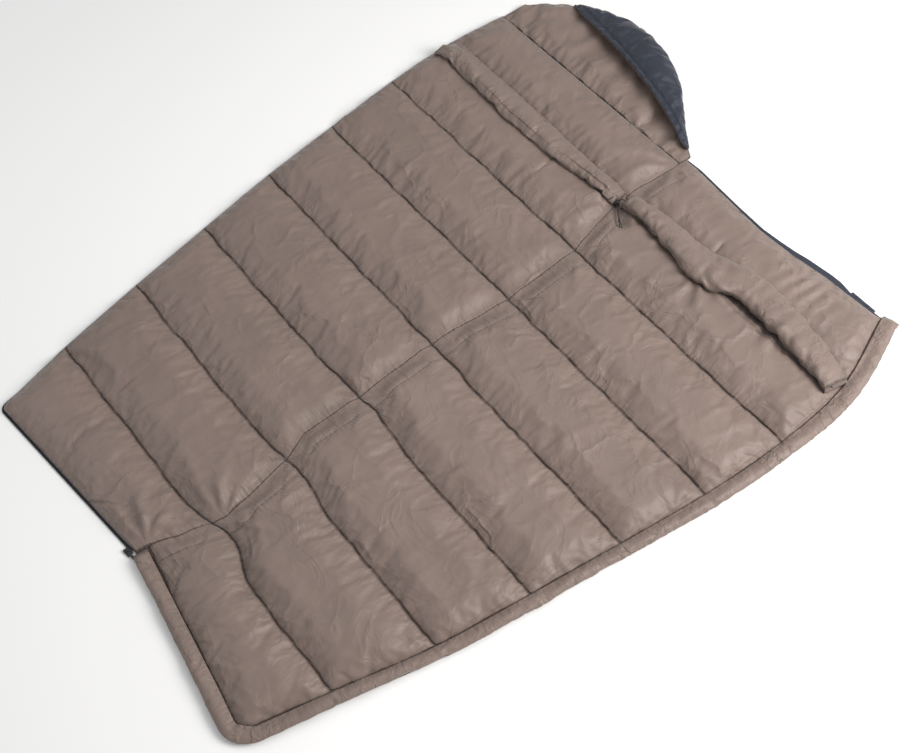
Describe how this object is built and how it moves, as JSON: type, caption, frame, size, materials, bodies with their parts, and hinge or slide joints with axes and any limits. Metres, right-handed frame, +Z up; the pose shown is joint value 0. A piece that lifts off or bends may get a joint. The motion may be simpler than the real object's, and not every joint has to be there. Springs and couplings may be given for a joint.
{
  "type": "sleeping bag opened as a camp quilt",
  "caption": "Mummy sleeping bag opened flat as a camp quilt: quilted halves joined down one side, hood, draft collars with drawcord, draft tube and L-shaped zip.",
  "frame": {"origin": "on the floor under the middle of the opened quilt", "axes": "+X from the foot to the hood, +Y towards the back half with the hood, +Z up out of the lining"},
  "size_m": [2.2038, 1.6483, 0.0741],
  "materials": {
    "lining_cloth": "satin brown polyester lining, quilted",
    "shell_cloth": "navy polyester shell with a slight sheen",
    "wadding": "white hollow-fibre wadding",
    "cord_yarn": "braided black cord",
    "moulded_black": "moulded black plastic",
    "zip_cloth": "woven black zip tape",
    "slider_metal": "black lacquered die-cast metal"
  },
  "bodies": {
    "back_half": {"back_shell": "shell_cloth", "back_lining": "lining_cloth", "back_fill_1": "wadding", "back_fill_2": "wadding", "back_fill_3": "wadding", "back_fill_4": "wadding", "back_fill_5": "wadding", "back_fill_6": "wadding", "back_fill_7": "wadding", "back_fill_8": "wadding", "hood_floor_shell": "shell_cloth", "hood_floor_lining": "lining_cloth", "hood_floor_fill": "wadding", "hood_wall_shell": "shell_cloth", "hood_wall_lining": "lining_cloth", "hood_wall_fill": "wadding", "hood_drawcord": "cord_yarn", "back_collar_cover": "lining_cloth", "back_collar_fill": "wadding", "back_collar_cord": "cord_yarn", "back_zip_tape": "zip_cloth", "back_zip_coil": "moulded_black", "zip_bottom_stop": "slider_metal"},
    "front_half": {"front_shell": "shell_cloth", "front_lining": "lining_cloth", "front_fill_1": "wadding", "front_fill_2": "wadding", "front_fill_3": "wadding", "front_fill_4": "wadding", "front_fill_5": "wadding", "front_fill_6": "wadding", "front_fill_7": "wadding", "front_fill_8": "wadding", "front_collar_cover": "lining_cloth", "front_collar_fill": "wadding", "front_collar_cord": "cord_yarn", "draft_tube_cover": "lining_cloth", "draft_tube_fill": "wadding", "front_zip_tape": "zip_cloth", "front_zip_coil": "moulded_black", "neck_tab": "shell_cloth", "back_strand": "cord_yarn", "front_strand": "cord_yarn", "cord_knot": "cord_yarn"},
    "zip_slider": {"zip_slider": "slider_metal"},
    "zip_pull": {"zip_pull": "slider_metal"},
    "cord_lock": {"cord_lock_body": "moulded_black", "cord_lock_spring": "slider_metal"},
    "lock_button": {"cord_lock_button": "moulded_black"}
  },
  "joints": [
    {"name": "front_fold", "type": "hinge", "parent": "back_half", "child": "front_half", "pos_m": [0, 0.01, 0.056], "axis": [-1, 0, 0], "range_deg": [0, 179]},
    {"name": "zip_slide", "type": "slide", "parent": "back_half", "child": "zip_slider", "axis": [-0.0995, 0.995, 0], "range_m": [0, 0.44]},
    {"name": "zip_pull_turn", "type": "hinge", "parent": "zip_slider", "child": "zip_pull", "pos_m": [-1.04654, 0.02284, 0.00685], "axis": [-0.995, -0.0995, 0], "range_deg": [0, 150]},
    {"name": "cord_lock_slide", "type": "slide", "parent": "front_half", "child": "cord_lock", "axis": [-0.5973, -0.802, 0], "range_m": [0, 0.028]},
    {"name": "lock_button_press", "type": "slide", "parent": "cord_lock", "child": "lock_button", "axis": [0, 0, -1], "range_m": [0, 0.003], "stiffness_N_per_m": 300, "springref_m": -0.003, "deforming": ["cord_lock_spring"]}
  ]
}
